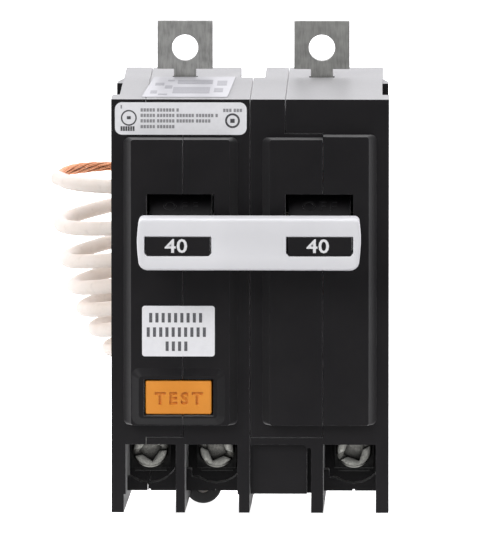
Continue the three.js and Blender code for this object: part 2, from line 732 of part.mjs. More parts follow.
function addTestButton() {
  const { x, half, z, halfHeight, front } = BUTTON;
  const block = (grow, y) =>
    box([x - half - grow, x + half + grow], y, [z - halfHeight - grow, z + halfHeight + grow]);
  const stem = rodY(1.5, [x, z + 0.8], [-53.4, -50.6], 24);
  piece("test_button", join(block(0, [front, -53.4]), block(0.9, [-54.2, -53]), stem), FINISH.button);

  const blade = box([x - 2, x + 2], [-48.9, -48.5], [21, 30]);
  const foot = box([x - 2, x + 2], [-48.9, -44.5], [29.6, 30]);
  piece("test_contact_spring", join(blade, foot), FINISH.copper);
}

// ---------------------------------------------------------------- terminals

function addTerminal(name, x) {
  const { z, strap, clamp, head, radius } = TERMINAL;
  const shankHole = rodY(2.7, [x, z], EVERYWHERE, 24);
  const strapPlate = box([x - 3, x + 3], strap, [4.6, 18.6]);
  piece(`${name}_strap`, cut(strapPlate, shankHole), FINISH.plated);

  const clampPlate = box([x - 3.7, x + 3.7], clamp, [z - 3.7, z + 3.6]);
  piece(`${name}_clamp`, cut(clampPlate, shankHole), FINISH.steel);

  const headDisc = rodY(radius, [x, z], head, 36);
  const shank = rodY(2.4, [x, z], [head[1] - 0.2, -28.6], 24);
  const driver = new THREE.BoxGeometry(3, 1.5, 3);
  driver.rotateY(Math.PI / 4);
  const slot = new THREE.BoxGeometry(8, 1.1, 1.1);
  const recess = [driver, slot].map((shape) => {
    shape.rotateY(THREE.MathUtils.degToRad(-SLOT_ANGLES[name]));
    shape.translate(x, head[0], z);
    return solid(shape);
  });
  piece(`${name}_screw`, cut(join(headDisc, shank), ...recess), FINISH.screw);
}

// ---------------------------------------------------------------- neutral pigtail

// Left edge of the loose coil, in turns counted up from its lowest loop.
function coilEdge(turns) {
  return { x: -27.8 - 13.5 * (1 - Math.exp(-turns / 4.5)), z: 21.2 + 3.72 * turns + 0.008 * turns ** 4 };
}

const COIL = { radius: 12, y: 17, turns: 6, perTurn: 12, rise: 0.22, tip: 0.06 };

// The loops lean up to the right, less so towards the loose end, and tip slightly down at the back.
function coilPoint(turns) {
  const { x, z } = coilEdge(turns);
  const angle = 2 * Math.PI * turns;
  const across = COIL.radius * (1 - Math.cos(angle));
  const back = COIL.radius * Math.sin(angle);
  const rise = COIL.rise - 0.0007 * Math.max(turns, 0) ** 3;
  return [x + across, COIL.y + back, z + rise * across - COIL.tip * back];
}

function addPigtail() {
  const { x, z, y } = BUSHING;
  const inside = [
    [-6.4, -31.6, 17.2],
    [-6.7, -30.4, 17.2],
    [-9.2, -27.9, 18.7],
    [-9.4, -27.4, 21],
    [-9.4, -27.2, 26.4],
    [-7, -23.4, 28.4],
    [-6.2, -19, 23],
    [-7.4, -15, 14],
    [-8.9, -12.4, 8],
    [x, -10.8, 3],
    [x, -9.4, -0.6],
    [x, -7, z],
    [x, 0, z],
  ];
  const outside = [
    [x + 0.3, 5, z + 1.2],
    [x + 0.8, 9.5, 6],
    [x + 2.4, 12, 13],
  ];
  const loops = [];
  const start = -0.45;
  for (let i = 0; i <= (COIL.turns - start) * COIL.perTurn; i++) {
    loops.push(coilPoint(start + i / COIL.perTurn));
  }
  const points = [...inside, ...outside, ...loops];
  piece("pigtail_wire", tube(points, WIRE, Math.round(points.length * 1.3)), FINISH.insulation);

  const strands = [];
  for (let i = 0; i <= 5; i++) {
    const [sx, sy, sz] = coilPoint(COIL.turns + 0.02 + 0.05 * i);
    strands.push([sx + 0.3 * i, sy, sz - 0.09 * i ** 2]);
  }
  piece("pigtail_strands", tube(strands, 0.75, 16), FINISH.copper);

  const sleeve = rodY(BUSHING.radius, [x, z], y, 32);
  const bore = rodY(WIRE + 0.3, [x, z], [y[0] - 1, y[1] + 1], 24);
  piece("pigtail_bushing", cut(sleeve, bore), FINISH.rubber);
}

// ---------------------------------------------------------------- labels

function addLabels() {
  const thickness = 0.1;
  const info = roundedRectangle([-24.7, -0.6], [69.7, 75.65], 1.3);
  piece("info_label", prismY(info, [-DEPTH - thickness, -DEPTH]), FINISH.label);
  const notice = roundedRectangle([-19.7, -6.4], [29.2, 38.5], 0.5);
  piece("notice_label", prismY(notice, [PLATFORM_FRONT - thickness, PLATFORM_FRONT]), FINISH.label);
  const sticker = [
    [-19.9, -53.6],
    [-4.2, -53.6],
    [-3.3, -18.1],
    [-18.4, -18.1],
  ]; // the sticker on top sits slightly askew
  piece("top_sticker", prismZ(sticker, [HEIGHT, HEIGHT + thickness]), FINISH.label);
}

// ---------------------------------------------------------------- assembly

addShells();
Object.entries(RIVETS).forEach(([name, at]) => addRivet(name, at));
addHandleTie();
for (const [side, x] of Object.entries(POLES)) {
  addHandle(side, x);
  addLineTang(side, x);
  addContactArm(side, x);
  addOperatingSpring(side, x);
  addCradle(side, x);
  addPins(side, x);
  addArcChute(side, x);
  addTripUnit(side, x);
}
addTripBar();
addFaultModule();
addLeads();
addTestButton();
["load_a", "neutral", "load_b"].forEach((name, i) => addTerminal(name, CHAMBERS[i].screw));
addPigtail();
addLabels();

breaker.position.z = -HEIGHT / 2;

export default breaker;
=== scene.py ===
"""Looks of a two-pole ground-fault circuit breaker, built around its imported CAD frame.

Lengths in this script are millimetres in the frame of the CAD part: +X right, +Y back, +Z up.
Meshes are scaled to Blender's metres when they are made.
"""

import json
import math

import bmesh
import bpy
from mathutils import Matrix, Vector


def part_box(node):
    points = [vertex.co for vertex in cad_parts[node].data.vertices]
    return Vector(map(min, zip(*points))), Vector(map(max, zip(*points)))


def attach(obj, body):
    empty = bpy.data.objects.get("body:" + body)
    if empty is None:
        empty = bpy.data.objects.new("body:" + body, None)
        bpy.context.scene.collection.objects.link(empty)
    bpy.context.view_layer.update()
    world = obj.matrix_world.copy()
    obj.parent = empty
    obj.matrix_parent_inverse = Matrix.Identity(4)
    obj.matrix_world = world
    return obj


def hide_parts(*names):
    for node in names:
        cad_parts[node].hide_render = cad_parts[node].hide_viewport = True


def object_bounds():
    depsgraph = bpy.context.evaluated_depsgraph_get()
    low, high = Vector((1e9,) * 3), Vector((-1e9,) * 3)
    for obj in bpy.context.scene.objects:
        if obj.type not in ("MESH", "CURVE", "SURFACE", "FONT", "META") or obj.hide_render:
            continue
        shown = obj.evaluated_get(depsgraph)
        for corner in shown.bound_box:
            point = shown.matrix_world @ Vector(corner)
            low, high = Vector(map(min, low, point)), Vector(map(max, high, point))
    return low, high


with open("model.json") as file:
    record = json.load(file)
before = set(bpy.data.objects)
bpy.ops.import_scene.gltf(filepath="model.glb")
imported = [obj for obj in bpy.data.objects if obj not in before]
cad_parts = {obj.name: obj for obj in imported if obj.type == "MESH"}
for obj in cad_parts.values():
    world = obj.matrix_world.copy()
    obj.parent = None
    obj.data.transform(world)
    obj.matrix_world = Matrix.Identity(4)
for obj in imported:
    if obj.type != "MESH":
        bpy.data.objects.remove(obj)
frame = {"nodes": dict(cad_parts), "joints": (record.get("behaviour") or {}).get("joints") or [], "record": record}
CAD_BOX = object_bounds()

MM = 0.001
POLES = ("left", "right")
TERMINALS = ("load_a", "neutral", "load_b")


# ---------------------------------------------------------------- places from the frame


def span(node):
    """The x, y and z ranges of a CAD node, in millimetres."""
    low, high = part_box(node)
    return [(low[i] / MM, high[i] / MM) for i in range(3)]


def middle(node):
    """The middle of a CAD node's box, in millimetres."""
    return Vector([(low + high) / 2 for low, high in span(node)])


def joint(name):
    """One joint of the record."""
    return next(j for j in frame["joints"] if j["name"] == name)


def pivot(name):
    """A hinge's place, in millimetres."""
    return Vector(joint(name)["pos_m"]) / MM


# ---------------------------------------------------------------- materials


class Finish:
    """A Principled material and short calls that add procedural nodes to it."""

    def __init__(self, name):
        self.material = bpy.data.materials.new(name)
        self.material.use_nodes = True
        self.tree = self.material.node_tree
        self.surface = self.tree.nodes["Principled BSDF"]
        self.place = self.add("ShaderNodeTexCoord").outputs["Object"]

    def add(self, kind, **settings):
        node = self.tree.nodes.new(kind)
        for key, value in settings.items():
            setattr(node, key, value)
        return node

    def feed(self, socket, value):
        """Connects a socket or sets a plain value."""
        if isinstance(value, bpy.types.NodeSocket):
            self.tree.links.new(value, socket)
        elif isinstance(value, (tuple, list)) and len(socket.default_value) == 4:
            socket.default_value = (*value[:3], 1.0)
        else:
            socket.default_value = value

    def set(self, **values):
        """Feeds inputs of the surface, such as base_color or coat_weight."""
        for key, value in values.items():
            words = key.replace("_", " ").title()
            words = words.replace("Ior", "IOR")
            self.feed(self.surface.inputs[words], value)
        return self

    def stretched(self, scale):
        """Object coordinates scaled by a different amount along each axis."""
        mapping = self.add("ShaderNodeMapping")
        self.feed(mapping.inputs["Vector"], self.place)
        mapping.inputs["Scale"].default_value = scale
        return mapping.outputs["Vector"]

    def noise(self, per_mm, detail=3.0, stretch=(1, 1, 1)):
        """Noise with about per_mm blotches in each millimetre."""
        node = self.add("ShaderNodeTexNoise")
        self.feed(node.inputs["Vector"], self.stretched(stretch))
        node.inputs["Scale"].default_value = per_mm / MM
        node.inputs["Detail"].default_value = detail
        return node.outputs["Fac"]

    def cells(self, per_mm):
        """Distance to the nearest of about per_mm scattered points in each millimetre."""
        node = self.add("ShaderNodeTexVoronoi")
        self.feed(node.inputs["Vector"], self.place)
        node.inputs["Scale"].default_value = per_mm / MM
        return node.outputs["Distance"]

    def remap(self, value, low, high, to_low=0.0, to_high=1.0):
        """Carries the range from low to high over to the range from to_low to to_high."""
        node = self.add("ShaderNodeMapRange")
        self.feed(node.inputs["Value"], value)
        ends = {"From Min": low, "From Max": high, "To Min": to_low, "To Max": to_high}
        for key, end in ends.items():
            node.inputs[key].default_value = end
        return node.outputs["Result"]

    def math(self, operation, a, b):
        node = self.add("ShaderNodeMath", operation=operation)
        self.feed(node.inputs[0], a)
        self.feed(node.inputs[1], b)
        return node.outputs[0]

    def mix(self, factor, a, b):
        """A colour between a and b."""
        node = self.add("ShaderNodeMix", data_type="RGBA")
        self.feed(node.inputs["Factor"], factor)
        self.feed(node.inputs[6], a)
        self.feed(node.inputs[7], b)
        return node.outputs[2]

    def edges(self, radius):
        """Rises from 0 on flat faces towards 1 along edges, within radius millimetres."""
        rounded = self.add("ShaderNodeBevel", samples=6)
        rounded.inputs["Radius"].default_value = radius * MM
        flat = self.add("ShaderNodeNewGeometry")
        dot = self.add("ShaderNodeVectorMath", operation="DOT_PRODUCT")
        self.feed(dot.inputs[0], rounded.outputs["Normal"])
        self.feed(dot.inputs[1], flat.outputs["Normal"])
        return self.remap(dot.outputs["Value"], 0.995, 0.75)

    def crevices(self, distance):
        """Rises from 0 in the open towards 1 in corners, within distance millimetres."""
        node = self.add("ShaderNodeAmbientOcclusion", samples=6)
        node.inputs["Distance"].default_value = distance * MM
        return self.remap(node.outputs["AO"], 0.85, 0.45)

    def bump(self, *layers):
        """Stacks (height, strength, depth in millimetres) layers into the surface normal."""
        normal = None
        for height, strength, depth in layers:
            node = self.add("ShaderNodeBump")
            node.inputs["Strength"].default_value = strength
            node.inputs["Distance"].default_value = depth * MM
            self.feed(node.inputs["Height"], height)
            if normal is not None:
                self.feed(node.inputs["Normal"], normal)
            normal = node.outputs["Normal"]
        self.feed(self.surface.inputs["Normal"], normal)
        return self


def plastic(name, colour, tint, edge_wear_and_highlight, roughness, grain=0.003, edge_wear_and_highlight_amount=0.35):
    """Moulded plastic: cloudy colour, fine grain, edges made lighter by wear and by a painted highlight."""
    finish = Finish(name)
    clouds = finish.remap(finish.noise(0.12), 0.35, 0.65)
    flecks = finish.remap(finish.noise(2.5, 5), 0.3, 0.7)
    patches = finish.remap(finish.noise(0.7, 4), 0.4, 0.62, 0, edge_wear_and_highlight_amount)
    # Edge wear and painted highlight: edges turn towards a lighter colour in random patches.
    edge_wear_and_highlight_mask = finish.math("MULTIPLY", finish.edges(0.25), patches)
    base = finish.mix(clouds, colour, tint)
    gloss = finish.remap(flecks, 0, 1, roughness - 0.04, roughness + 0.05)
    finish.set(base_color=finish.mix(edge_wear_and_highlight_mask, base, edge_wear_and_highlight), roughness=gloss, ior=1.5)
    finish.bump((finish.noise(9, 2), 0.5, grain), (finish.noise(0.25, 2), 0.25, 0.02))
    return finish


def metal(name, colour, tint, roughness, brushed=(1, 1, 1), grime_and_crevice_shade=0.5, depth=1.2, shine=1.0):
    """Sheet or drawn metal: cloudy tone, fine scratches, bright edges, and painted shade that darkens corners
    within depth mm.
    """
    finish = Finish(name)
    clouds = finish.remap(finish.noise(0.5, 9), 0.3, 0.7)
    scratches = finish.noise(3, 8, brushed)
    # Painted shade: ambient occlusion darkens corners and hollows towards near black.
    painted_crevice_shade = finish.math("MULTIPLY", finish.crevices(depth), grime_and_crevice_shade)
    bright = finish.math("MULTIPLY", finish.edges(0.15), 0.5)
    tone = finish.mix(0.4, clouds, finish.remap(scratches, 0.35, 0.65))
    base = finish.mix(tone, colour, tint)
    base = finish.mix(bright, base, [min(1.0, c * 1.5) for c in colour])
    gloss = finish.remap(scratches, 0.3, 0.7, roughness - 0.09, roughness + 0.12)
    finish.set(base_color=finish.mix(painted_crevice_shade, base, (0.03, 0.028, 0.025)), metallic=shine, roughness=gloss)
    finish.bump((scratches, 0.25, 0.01), (finish.noise(1.2, 4), 0.2, 0.02))
    return finish


def insulation(name, colour, tint, roughness):
    """Extruded wire jacket: waxy, with faint drag marks and a little dirt."""
    finish = Finish(name)
    clouds = finish.remap(finish.noise(0.25, 3), 0.35, 0.7)
    grime_and_crevice_shade = finish.remap(finish.noise(0.8, 6), 0.58, 0.78, 0, 0.5)
    base = finish.mix(clouds, colour, tint)
    soiled = finish.mix(grime_and_crevice_shade, base, [0.8 * c for c in tint])
    finish.set(base_color=soiled, roughness=roughness, subsurface_weight=0.15, ior=1.48)
    finish.surface.inputs["Subsurface Radius"].default_value = (1.0, 0.8, 0.6)
    finish.surface.inputs["Subsurface Scale"].default_value = 0.8 * MM
    finish.bump((finish.noise(1.2, 3), 0.3, 0.05), (finish.noise(7, 2), 0.2, 0.02))
    return finish


def paper(name, colour, tint):
    """Printed film or paper: even, slightly mottled, with a faint fibre relief."""
    finish = Finish(name)
    mottle = finish.remap(finish.noise(1.5, 5), 0.35, 0.65)
    finish.set(base_color=finish.mix(mottle, colour, tint), roughness=0.42, specular_ior_level=0.4)
    finish.bump((finish.noise(5, 4), 0.2, 0.01), (finish.noise(0.3, 2), 0.3, 0.06))
    return finish


def ink(name, colour):
    """Printed or filled marks, a little uneven in density."""
    finish = Finish(name)
    faded = finish.remap(finish.noise(4, 4), 0.45, 0.75, 0, 0.35)
    lighter = [min(1.0, c + 0.25) for c in colour]
    finish.set(base_color=finish.mix(faded, colour, lighter), roughness=0.5)
    finish.bump((finish.noise(6, 2), 0.2, 0.01))
    return finish


def fibre(name, colour, tint):
    """Pressed fibre or laminate with short streaks."""
    finish = Finish(name)
    streaks = finish.remap(finish.noise(1.5, 6, (1, 1, 0.2)), 0.3, 0.7)
    edge = finish.math("MULTIPLY", finish.edges(0.2), 0.4)
    base = finish.mix(edge, finish.mix(streaks, colour, tint), [1.4 * c for c in tint])
    finish.set(base_color=base, roughness=0.75)
    finish.bump((streaks, 0.4, 0.04), (finish.cells(3), 0.2, 0.03))
    return finish


def winding(name, colour, tint, turns_per_mm):
    """Fine enamelled wire wound round a bobbin that lies along Y."""
    finish = Finish(name)
    wave = finish.add("ShaderNodeTexWave", bands_direction="Y")
    finish.feed(wave.inputs["Vector"], finish.place)
    wave.inputs["Scale"].default_value = turns_per_mm / MM / math.pi
    wave.inputs["Distortion"].default_value = 0.4
    ridge = wave.outputs["Fac"]
    base = finish.mix(ridge, [0.45 * c for c in colour], finish.mix(finish.noise(1), colour, tint))
    finish.set(base_color=base, metallic=0.8, roughness=finish.remap(ridge, 0, 1, 0.5, 0.25))
    finish.bump((ridge, 0.6, 0.1))
    return finish


def board(name, colour, track):
    """Circuit board: solder mask over a grid of faint tracks."""
    finish = Finish(name)
    tracks = finish.remap(finish.cells(0.6), 0.1, 0.12)
    base = finish.mix(tracks, track, finish.mix(finish.noise(0.5), colour, [1.3 * c for c in colour]))
    finish.set(base_color=base, roughness=finish.remap(tracks, 0, 1, 0.25, 0.4), coat_weight=0.4)
    finish.bump((tracks, 0.3, 0.05))
    return finish


# The fourth colour lightens the edges: wear plus a painted highlight.
BLACK = plastic(
    "black_plastic", (0.0052, 0.0046, 0.0056), (0.0076, 0.0068, 0.0078), (0.12, 0.12, 0.125), 0.42
)
BLACK.set(specular_ior_level=0.21, sheen_weight=0.85, sheen_roughness=0.3)
FINISHES = {
    "moulded_case": BLACK,
    "handle_tie": plastic(
        "light_grey_plastic", (0.71, 0.71, 0.73), (0.74, 0.74, 0.76), (0.76, 0.76, 0.77), 0.55
    ),
    "test_orange": plastic(
        "orange_plastic", (0.72, 0.255, 0.02), (0.78, 0.29, 0.03), (0.85, 0.45, 0.15), 0.45
    ),
    "plated_copper": metal(
        "dull_tin_plate", (0.46, 0.46, 0.44), (0.23, 0.23, 0.22), 0.45, (1, 1, 0.15), shine=0.7
    ),
    "silver_contact": metal("contact_silver", (0.72, 0.70, 0.66), (0.6, 0.58, 0.54), 0.3),
    "copper": metal("bare_copper", (0.62, 0.25, 0.13), (0.78, 0.4, 0.24), 0.3),
    # The screw gets strong painted shade in its slot and square recess.
    "zinc_screw": metal(
        "worn_zinc_screw", (0.48, 0.48, 0.44), (0.30, 0.30, 0.28), 0.34, grime_and_crevice_shade=0.95, depth=2.6
    ),
    "zinc_steel": metal("zinc_plated_steel", (0.40, 0.41, 0.40), (0.28, 0.29, 0.28), 0.4, (1, 0.2, 1)),
    "spring_steel": metal("spring_wire", (0.30, 0.30, 0.31), (0.22, 0.22, 0.23), 0.32),
    "bimetal": metal("rolled_bimetal", (0.52, 0.46, 0.36), (0.4, 0.35, 0.28), 0.36, (1, 1, 0.12)),
    "fibre": fibre("vulcanised_fibre", (0.24, 0.2, 0.16), (0.36, 0.31, 0.25)),
    "coil_winding": winding("enamelled_winding", (0.5, 0.17, 0.06), (0.62, 0.26, 0.1), 4.0),
    "sensor_core": plastic(
        "epoxy_blue", (0.03, 0.06, 0.14), (0.05, 0.09, 0.19), (0.15, 0.2, 0.3), 0.35, 0.02
    ),
    "board_green": board("solder_mask", (0.012, 0.075, 0.028), (0.05, 0.16, 0.06)),
    "lead_insulation": insulation("black_jacket", (0.012, 0.012, 0.014), (0.02, 0.02, 0.022), 0.42),
    "pigtail_insulation": insulation("cream_jacket", (0.80, 0.73, 0.67), (0.75, 0.67, 0.60), 0.5),
    "bushing_rubber": plastic(
        "bushing_black", (0.006, 0.006, 0.006), (0.01, 0.01, 0.01), (0.03, 0.03, 0.03), 0.5
    ),
    "label_film": paper("label_film", (0.80, 0.80, 0.82), (0.77, 0.77, 0.79)),
}
WHITE_FILM = paper("white_film", (0.84, 0.84, 0.86), (0.81, 0.81, 0.83))
# Painted shade: the white sticker's film is made much darker than the other labels, to offset the strong light on
# the top face.
SHADED_STICKER_FILM = paper("sticker_film_painted_darker", (0.42, 0.42, 0.44), (0.40, 0.40, 0.42))
SHADED_STICKER_FILM.set(specular_ior_level=0.25)
# Painted shade: near-black metal for the terminal clamps and straps, which sit in shadow deep in their pockets.
POCKET_SHADE_METAL = metal("pocket_metal_painted_shade", (0.045, 0.045, 0.045), (0.03, 0.03, 0.03), 0.45)
PRINT_DARK = ink("print_dark", (0.045, 0.045, 0.05))
PRINT_GREY = ink("print_grey", (0.25, 0.25, 0.26))
PRINT_BOLD = ink("print_bold", (0.09, 0.09, 0.1))
PRINT_PALE = ink("print_pale", (0.24, 0.24, 0.26))
PRINT_WHITE = ink("print_white", (0.74, 0.74, 0.75))

RECORD = frame["record"]
SLOTS = {part["node"]: part["material_slot"] for part in RECORD["subparts"]}
BODY_OF = {node: body for body, nodes in RECORD["behaviour"]["bodies"].items() for node in nodes}


# ---------------------------------------------------------------- mesh tools


def finished(obj, node, finish=None, stands_for=True):
    """Gives a piece a CAD node's body, slot and finish, and hides the node if it stands for it."""
    obj.data.materials.clear()
    obj.data.materials.append((finish or FINISHES[SLOTS[node]]).material)
    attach(obj, BODY_OF[node])
    if stands_for:
        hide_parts(node)
    return obj


def from_bmesh(name, mesh_work, smooth_angle=35):
    """A new object from a bmesh drawn in millimetres."""
    bmesh.ops.recalc_face_normals(mesh_work, faces=mesh_work.faces)
    mesh_work.transform(Matrix.Scale(MM, 4))
    mesh = bpy.data.meshes.new(name)
    mesh_work.to_mesh(mesh)
    mesh_work.free()
    mesh.shade_smooth()
    mesh.set_sharp_from_angle(angle=math.radians(smooth_angle))
    obj = bpy.data.objects.new(name, mesh)
    bpy.context.scene.collection.objects.link(obj)
    return obj


def to_mesh(obj):
    """Turns a curve or text object, with its modifiers, into a mesh object of the same name."""
    name = obj.name
    evaluated = obj.evaluated_get(bpy.context.evaluated_depsgraph_get())
    mesh = bpy.data.meshes.new_from_object(evaluated)
    mesh.transform(obj.matrix_world)
    bpy.data.objects.remove(obj)
    made = bpy.data.objects.new(name, mesh)
    bpy.context.scene.collection.objects.link(made)
    return made


def with_modifiers(obj, smooth_angle=35):
    """Applies an object's modifiers."""
    bpy.context.view_layer.update()
    evaluated = obj.evaluated_get(bpy.context.evaluated_depsgraph_get())
    mesh = bpy.data.meshes.new_from_object(evaluated)
    obj.modifiers.clear()
    obj.data = mesh
    mesh.shade_smooth()
    mesh.set_sharp_from_angle(angle=math.radians(smooth_angle))
    return obj


def add_bevel(obj, width, segments=3, angle=30):
    """Rounds the edges sharper than the angle in degrees, by width millimetres."""
    bevel = obj.modifiers.new("bevel", "BEVEL")
    bevel.width = width * MM
    bevel.segments = segments
    bevel.limit_method = "ANGLE"
    bevel.angle_limit = math.radians(angle)
    bevel.use_clamp_overlap = True


def cut_by(obj, *cutters):
    """Cuts other objects out of obj and removes them."""
    for cutter in cutters:
        boolean = obj.modifiers.new("cut", "BOOLEAN")
        boolean.operation = "DIFFERENCE"
        boolean.solver = "EXACT"
        boolean.object = cutter
        with_modifiers(obj)
        bpy.data.objects.remove(cutter)
    return obj


def arc(centre, radius, start, end, steps=8):
    """Points on an arc, with the angles in degrees."""
    angles = [math.radians(start + (end - start) * i / steps) for i in range(steps + 1)]
    return [(centre[0] + radius * math.cos(a), centre[1] + radius * math.sin(a)) for a in angles]


def rounded_outline(u, v, radius, steps=8):
    """A rectangle with round corners, as a list of points."""
    corners = (
        ((u[1] - radius, v[1] - radius), 0),
        ((u[0] + radius, v[1] - radius), 90),
        ((u[0] + radius, v[0] + radius), 180),
        ((u[1] - radius, v[0] + radius), 270),
    )
    return [p for centre, start in corners for p in arc(centre, radius, start, start + 90, steps)]


def slab(name, outline, y, edge=0.0, steps=3, smooth_angle=35):
    """An [x, z] outline extruded along Y, with its front rim rounded by edge."""
    work = bmesh.new()
    front, back = y
    rims = []
    layers = [(back, 0.0)]
    for i in range(steps + 1 if edge else 1):
        turn = math.pi / 2 * i / steps
        layers.append((front + edge * (1 - math.sin(turn)), edge * (1 - math.cos(turn))))
    for depth, inset in layers:
        ring = inset_outline(outline, inset)
        rims.append([work.verts.new((x, depth, z)) for x, z in ring])
    for lower, upper in zip(rims, rims[1:]):
        for i in range(len(lower)):
            j = (i + 1) % len(lower)
            work.faces.new((lower[i], lower[j], upper[j], upper[i]))
    work.faces.new(rims[0])
    work.faces.new(rims[-1])
    return from_bmesh(name, work, smooth_angle)


def inset_outline(outline, inset):
    """Moves each point of a closed outline inwards along the mean of its two edges' normals."""
    if not inset:
        return list(outline)
    count = len(outline)
    area = sum(
        outline[i][0] * outline[(i + 1) % count][1] - outline[(i + 1) % count][0] * outline[i][1]
        for i in range(count)
    )
    way = 1 if area > 0 else -1
    moved = []
    for i, (u, v) in enumerate(outline):
        before = Vector(outline[i]) - Vector(outline[i - 1])
        after = Vector(outline[(i + 1) % count]) - Vector(outline[i])
        normals = [Vector((-e.y, e.x)).normalized() * way for e in (before, after) if e.length > 1e-9]
        mean = sum(normals, Vector((0, 0)))
        if mean.length < 1e-9:
            moved.append((u, v))
            continue
        mean.normalize()
        reach = inset / max(0.5, mean.dot(normals[0]))
        moved.append((u + mean.x * reach, v + mean.y * reach))
    return moved


def block(name, x, y, z):
    """A plain box, used as a cutter or as the start of a piece."""
    work = bmesh.new()
    bmesh.ops.create_cube(work, size=1)
    size = Matrix.Diagonal((x[1] - x[0], y[1] - y[0], z[1] - z[0], 1))
    centre = Vector(((x[0] + x[1]) / 2, (y[0] + y[1]) / 2, (z[0] + z[1]) / 2))
    work.transform(Matrix.Translation(centre) @ size)
    return from_bmesh(name, work)


AXIS_TURN = {
    "X": Matrix.Rotation(math.pi / 2, 4, "Y"),
    "Y": Matrix.Rotation(-math.pi / 2, 4, "X"),
}


def turned(name, profile, axis, centre, sides=64, smooth_angle=35):
    """A body of revolution. The profile is (radius, distance along the axis) from end to end."""
    work = bmesh.new()
    rings = []
    for radius, along in profile:
        if radius < 1e-6:
            rings.append([work.verts.new((0, 0, along))])
            continue
        angles = [2 * math.pi * i / sides for i in range(sides)]
        points = [(radius * math.cos(a), radius * math.sin(a), along) for a in angles]
        rings.append([work.verts.new(point) for point in points])
    for lower, upper in zip(rings, rings[1:]):
        for i in range(sides):
            j = (i + 1) % sides
            corners = [lower[i % len(lower)], lower[j % len(lower)]]
            corners += [upper[j % len(upper)], upper[i % len(upper)]]
            work.faces.new(list(dict.fromkeys(corners)))
    work.transform(Matrix.Translation(centre) @ AXIS_TURN[axis])
    return from_bmesh(name, work, smooth_angle)


def wire(name, points, radius, sides=8, resolution=6):
    """A round wire along a smooth curve through the points."""
    curve = bpy.data.curves.new(name, "CURVE")
    curve.dimensions = "3D"
    curve.resolution_u = resolution
    curve.bevel_depth = radius * MM
    curve.bevel_resolution = sides // 2
    curve.use_fill_caps = True
    spline = curve.splines.new("BEZIER")
    spline.bezier_points.add(len(points) - 1)
    for knot, point in zip(spline.bezier_points, points):
        knot.co = Vector(point) * MM
        knot.handle_left_type = knot.handle_right_type = "AUTO"
    obj = bpy.data.objects.new(name, curve)
    bpy.context.scene.collection.objects.link(obj)
    obj = to_mesh(obj)
    obj.data.shade_smooth()
    return obj


def lettering(name, text, height, depth, place, spread=1.0, weight=0.0, stretch=1.0):
    """Flat letters that face the front, centred on place, extruded by depth."""
    capital_share = 0.7
    curve = bpy.data.curves.new(name, "FONT")
    curve.body = text
    curve.align_x = "CENTER"
    curve.align_y = "CENTER"
    curve.size = height / capital_share * MM
    curve.space_character = spread
    curve.extrude = depth / 2 * MM
    curve.offset = weight * MM
    curve.resolution_u = 3
    obj = bpy.data.objects.new(name, curve)
    bpy.context.scene.collection.objects.link(obj)
    bpy.context.view_layer.update()
    obj.matrix_world = (
        Matrix.Translation(Vector(place) * MM)
        @ Matrix.Rotation(math.pi / 2, 4, "X")
        @ Matrix.Diagonal((stretch, 1, 1, 1))
    )
    bpy.context.view_layer.update()
    return to_mesh(obj)


def joined(name, objects):
    """Several mesh objects as one piece."""
    work = bmesh.new()
    for obj in objects:
        work.from_mesh(obj.data)
        bpy.data.objects.remove(obj)
    work.transform(Matrix.Scale(1 / MM, 4))
    return from_bmesh(name, work)


# ---------------------------------------------------------------- CAD nodes that stay


def geometry_group(name):
    """An empty geometry node group with its input and output."""
    group = bpy.data.node_groups.new(name, "GeometryNodeTree")
    for way in ("INPUT", "OUTPUT"):
        group.interface.new_socket("Geometry", in_out=way, socket_type="NodeSocketGeometry")
    return group, group.nodes.new("NodeGroupInput"), group.nodes.new("NodeGroupOutput")


def welding_group():
    """Drops the imported normals and joins the vertices that the import has split."""
    group, start, end = geometry_group("weld_faces")
    forget = group.nodes.new("GeometryNodeRemoveAttribute")
    forget.inputs["Name"].default_value = "custom_normal"
    merge = group.nodes.new("GeometryNodeMergeByDistance")
    merge.inputs["Distance"].default_value = 0.002 * MM
    group.links.new(start.outputs[0], forget.inputs["Geometry"])
    group.links.new(forget.outputs["Geometry"], merge.inputs["Geometry"])
    group.links.new(merge.outputs["Geometry"], end.inputs[0])
    return group


def smoothing_group(angle=32):
    """Shades smooth, except along edges sharper than the angle in degrees."""
    group, start, end = geometry_group("smooth_by_angle")
    soft = group.nodes.new("GeometryNodeSetShadeSmooth")
    sharp = group.nodes.new("GeometryNodeSetShadeSmooth")
    sharp.domain = "EDGE"
    sharp.inputs["Shade Smooth"].default_value = False
    bend = group.nodes.new("GeometryNodeInputMeshEdgeAngle")
    test = group.nodes.new("FunctionNodeCompare")
    test.data_type = "FLOAT"
    test.operation = "GREATER_THAN"
    test.inputs[1].default_value = math.radians(angle)
    group.links.new(start.outputs[0], soft.inputs["Geometry"])
    group.links.new(soft.outputs["Geometry"], sharp.inputs["Geometry"])
    group.links.new(bend.outputs["Unsigned Angle"], test.inputs[0])
    group.links.new(test.outputs["Result"], sharp.inputs["Selection"])
    group.links.new(sharp.outputs["Geometry"], end.inputs[0])
    return group


WELD = welding_group()
SMOOTH = smoothing_group()


def weigh_normals(obj):
    """Keeps wide flat faces flat in the shading, and lets the rounded edges take up the turn."""
    weights = obj.modifiers.new("flat_shading", "WEIGHTED_NORMAL")
    weights.mode = "FACE_AREA_WITH_ANGLE"
    weights.weight = 60
    weights.keep_sharp = True


